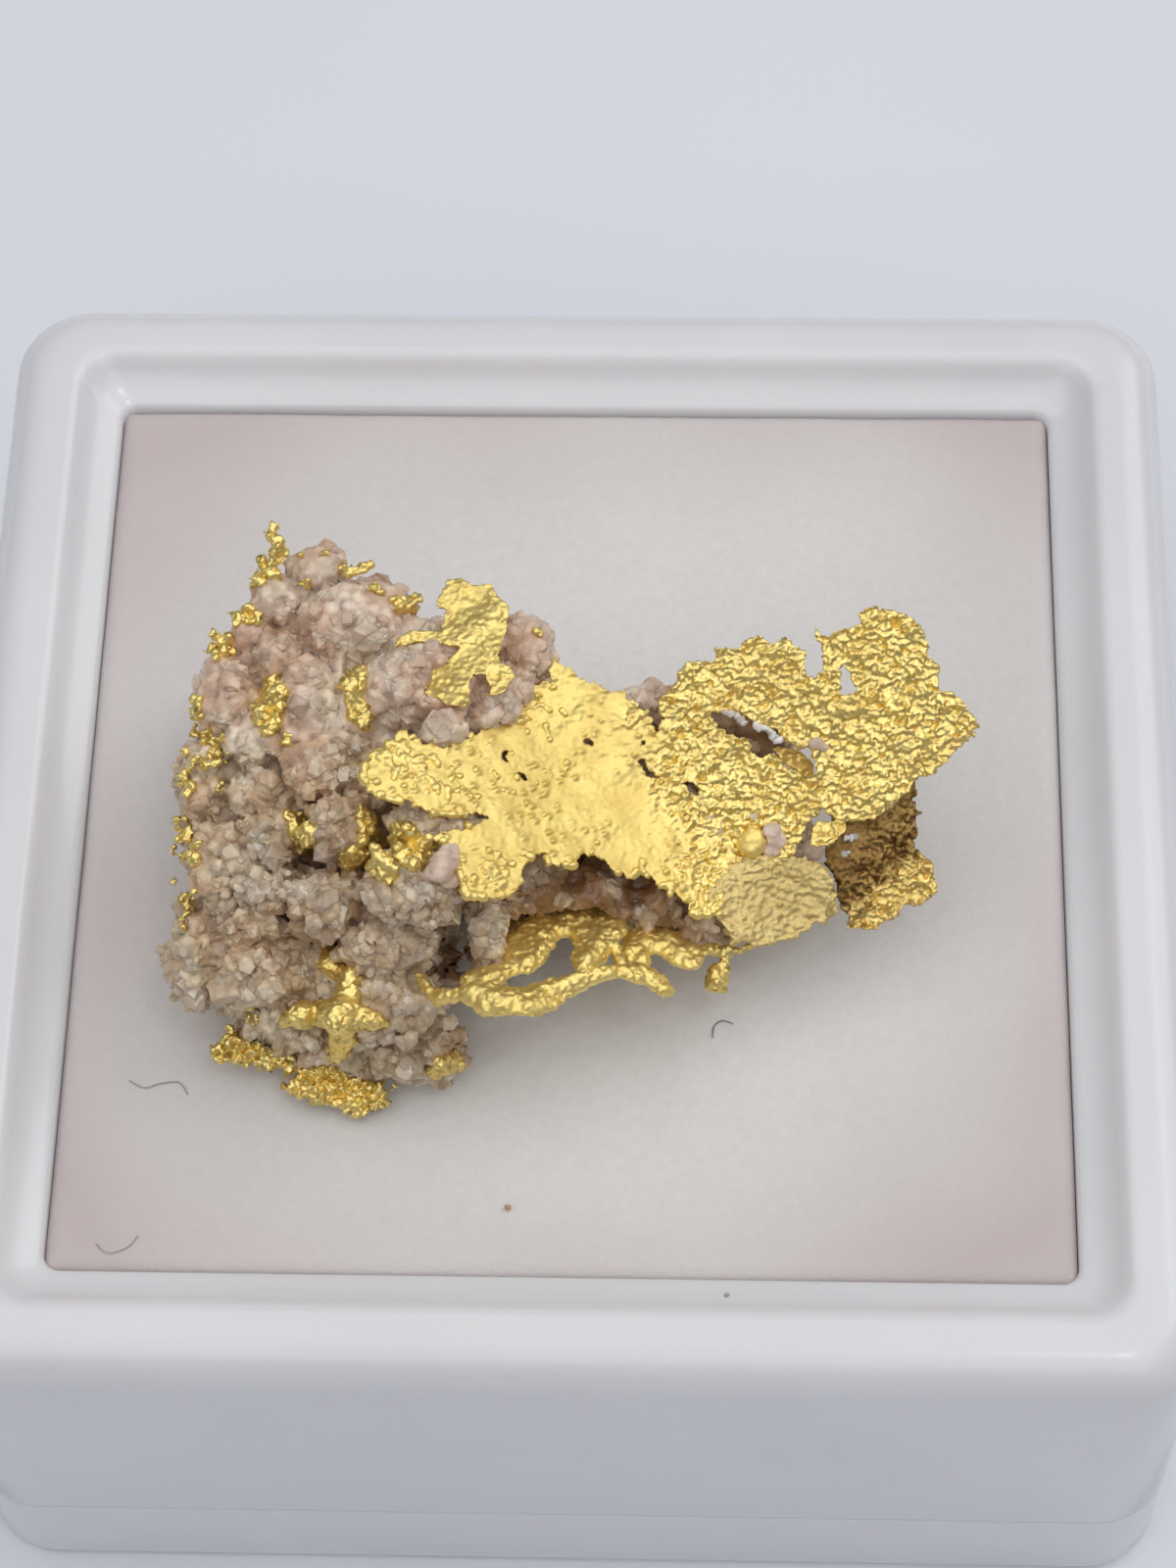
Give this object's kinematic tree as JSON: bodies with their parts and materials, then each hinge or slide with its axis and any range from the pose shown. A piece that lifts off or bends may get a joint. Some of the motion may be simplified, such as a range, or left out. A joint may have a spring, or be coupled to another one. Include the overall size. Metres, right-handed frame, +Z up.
{
  "type": "leaf gold specimen",
  "caption": "Leaf gold grown on a crust of quartz, resting on the foam pad of a small square white plastic display box.",
  "frame": {"origin": "centre of the box's underside", "axes": "+Z up through the box, -Y towards the viewer's side, +X to the viewer's right"},
  "size_m": [0.04, 0.04, 0.0274],
  "materials": {
    "white_plastic": "glossy",
    "pad_foam": "matte, felt-like foam",
    "quartz": "small glassy crystals",
    "yellow_gold": "bright crinkled native gold",
    "olive_gold": "dull, dusty native gold",
    "shaded_gold": "brown-gold, in shade"
  },
  "bodies": {
    "root": {"box_tray": "white_plastic", "box_base": "white_plastic", "pad": "pad_foam", "matrix": "quartz", "main_leaf": "yellow_gold", "olive_leaf": "olive_gold", "shaded_leaf": "shaded_gold", "flag_leaf": "yellow_gold", "front_leaf": "yellow_gold", "side_leaf": "yellow_gold", "base_leaf_left": "yellow_gold", "base_leaf_right": "yellow_gold", "patch_1": "yellow_gold", "patch_2": "yellow_gold", "patch_3": "yellow_gold", "patch_4": "yellow_gold", "patch_5": "yellow_gold", "patch_6": "yellow_gold", "low_rope": "yellow_gold", "star": "yellow_gold", "drop": "yellow_gold", "tuft": "yellow_gold", "edge_gold_1": "yellow_gold", "edge_gold_2": "yellow_gold", "edge_gold_3": "yellow_gold", "edge_ring": "yellow_gold", "edge_gold_4": "yellow_gold", "edge_gold_5": "yellow_gold", "top_gold_1": "yellow_gold", "top_gold_2": "yellow_gold"}
  },
  "joints": []
}
